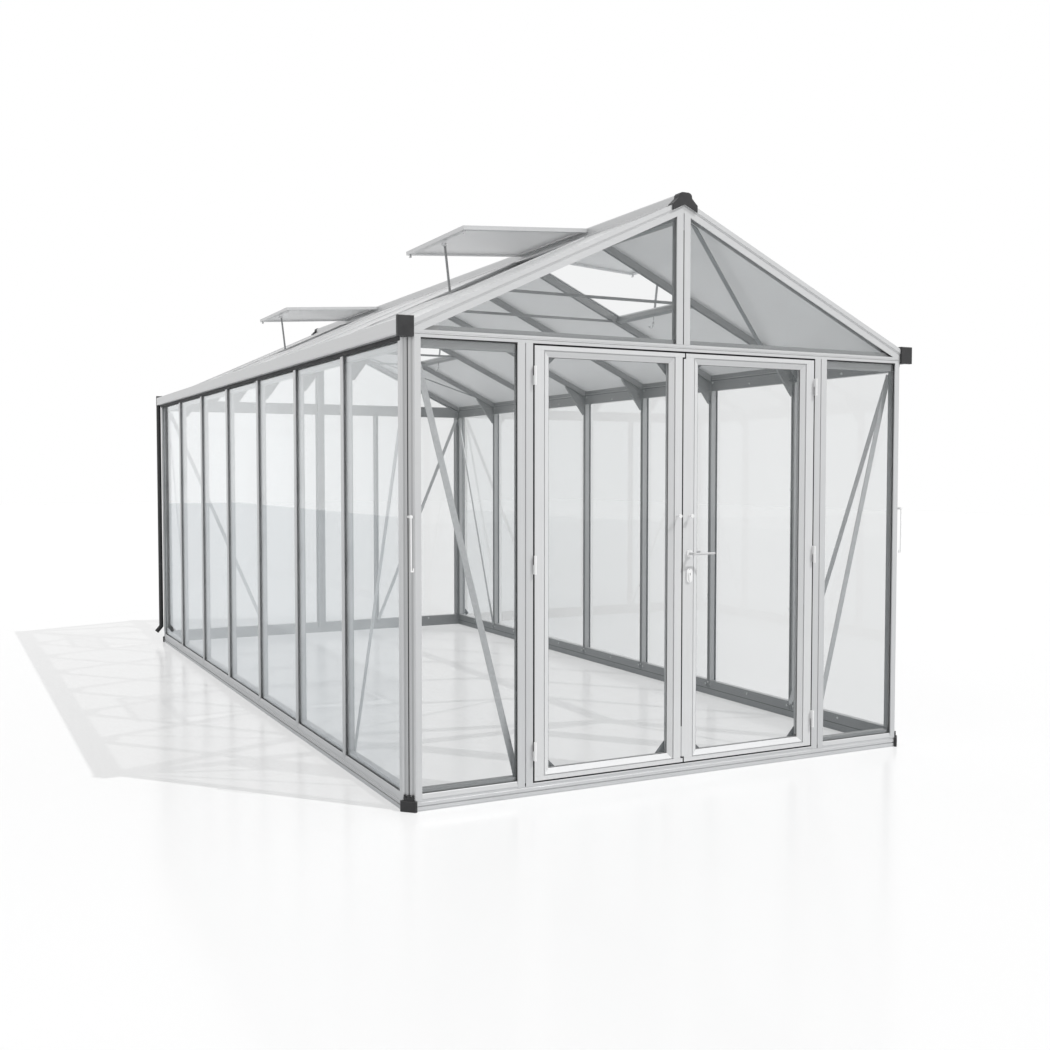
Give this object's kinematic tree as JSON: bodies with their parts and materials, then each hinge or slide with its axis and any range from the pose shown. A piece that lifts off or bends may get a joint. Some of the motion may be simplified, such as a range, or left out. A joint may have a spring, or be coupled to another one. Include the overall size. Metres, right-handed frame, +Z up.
{
  "type": "greenhouse",
  "caption": "Gable greenhouse in extruded aluminium bars with clear wall panes, pale twin-wall roof sheets, propped ridge vents and a pair of glazed outward-opening doors.",
  "frame": {"origin": "on the ground under the middle of the bounding box", "axes": "+X to the right along the front wall with the doors, +Y from the front towards the back wall, +Z up"},
  "size_m": [2.8352, 5.65, 2.656],
  "materials": {
    "frame_aluminium": "satin",
    "clear_pane": "polished",
    "opal_sheet": "semi-matt",
    "black_plastic": "matt",
    "brace_metal": "satin",
    "white_fitting": "satin"
  },
  "bodies": {
    "house": {"sill_front": "frame_aluminium", "sill_back": "frame_aluminium", "sill_left": "frame_aluminium", "sill_right": "frame_aluminium", "base_feet": "black_plastic", "corner_posts": "frame_aluminium", "wall_bars_left": "frame_aluminium", "wall_bars_right": "frame_aluminium", "door_jambs": "frame_aluminium", "back_posts": "frame_aluminium", "king_posts": "frame_aluminium", "tie_beam_front": "frame_aluminium", "tie_beam_back": "frame_aluminium", "eaves_gutter_left": "frame_aluminium", "eaves_gutter_right": "frame_aluminium", "gutter_caps": "black_plastic", "downpipes": "black_plastic", "gable_bars": "frame_aluminium", "ridge_bar": "frame_aluminium", "ridge_caps": "black_plastic", "rafters_left": "frame_aluminium", "rafters_right": "frame_aluminium", "collar_ties": "brace_metal", "haunch_plates": "brace_metal", "wall_braces": "brace_metal", "roof_braces": "brace_metal", "glass_left": "clear_pane", "glass_right": "clear_pane", "glass_front": "clear_pane", "glass_back": "clear_pane", "roof_sheets_left": "opal_sheet", "roof_sheets_right": "opal_sheet", "vent_trimmers": "frame_aluminium", "vent_frames": "frame_aluminium", "vent_sheets": "opal_sheet", "vent_stays": "brace_metal", "wall_fittings": "white_fitting"},
    "door_left": {"door_left_frame": "frame_aluminium", "door_left_glass": "clear_pane", "door_left_gussets": "brace_metal", "door_left_fittings": "white_fitting"},
    "door_right": {"door_right_frame": "frame_aluminium", "door_right_glass": "clear_pane", "door_right_gussets": "brace_metal", "door_right_fittings": "white_fitting"},
    "lever": {"lever_handle": "white_fitting"},
    "hook_left": {"hold_hook_left": "white_fitting"},
    "hook_right": {"hold_hook_right": "white_fitting"}
  },
  "joints": [
    {"name": "door_left_hinge", "type": "hinge", "parent": "house", "child": "door_left", "pos_m": [-0.7615, -2.789, 1], "axis": [0, 0, -1], "range_deg": [0, 180]},
    {"name": "door_right_hinge", "type": "hinge", "parent": "house", "child": "door_right", "pos_m": [0.7615, -2.789, 1], "axis": [0, 0, 1], "range_deg": [0, 180]},
    {"name": "lever_turn", "type": "hinge", "parent": "door_right", "child": "lever", "pos_m": [0.0375, -2.777, 1.025], "axis": [0, 1, 0], "range_deg": [0, 40], "stiffness_Nm_per_rad": 1.2, "springref_deg": -20.05},
    {"name": "hook_left_swing", "type": "hinge", "parent": "house", "child": "hook_left", "pos_m": [-1.325, -2.782, 1.215], "axis": [0, 1, 0], "range_deg": [0, 120]},
    {"name": "hook_right_swing", "type": "hinge", "parent": "house", "child": "hook_right", "pos_m": [1.325, -2.782, 1.215], "axis": [0, -1, 0], "range_deg": [0, 120]}
  ]
}
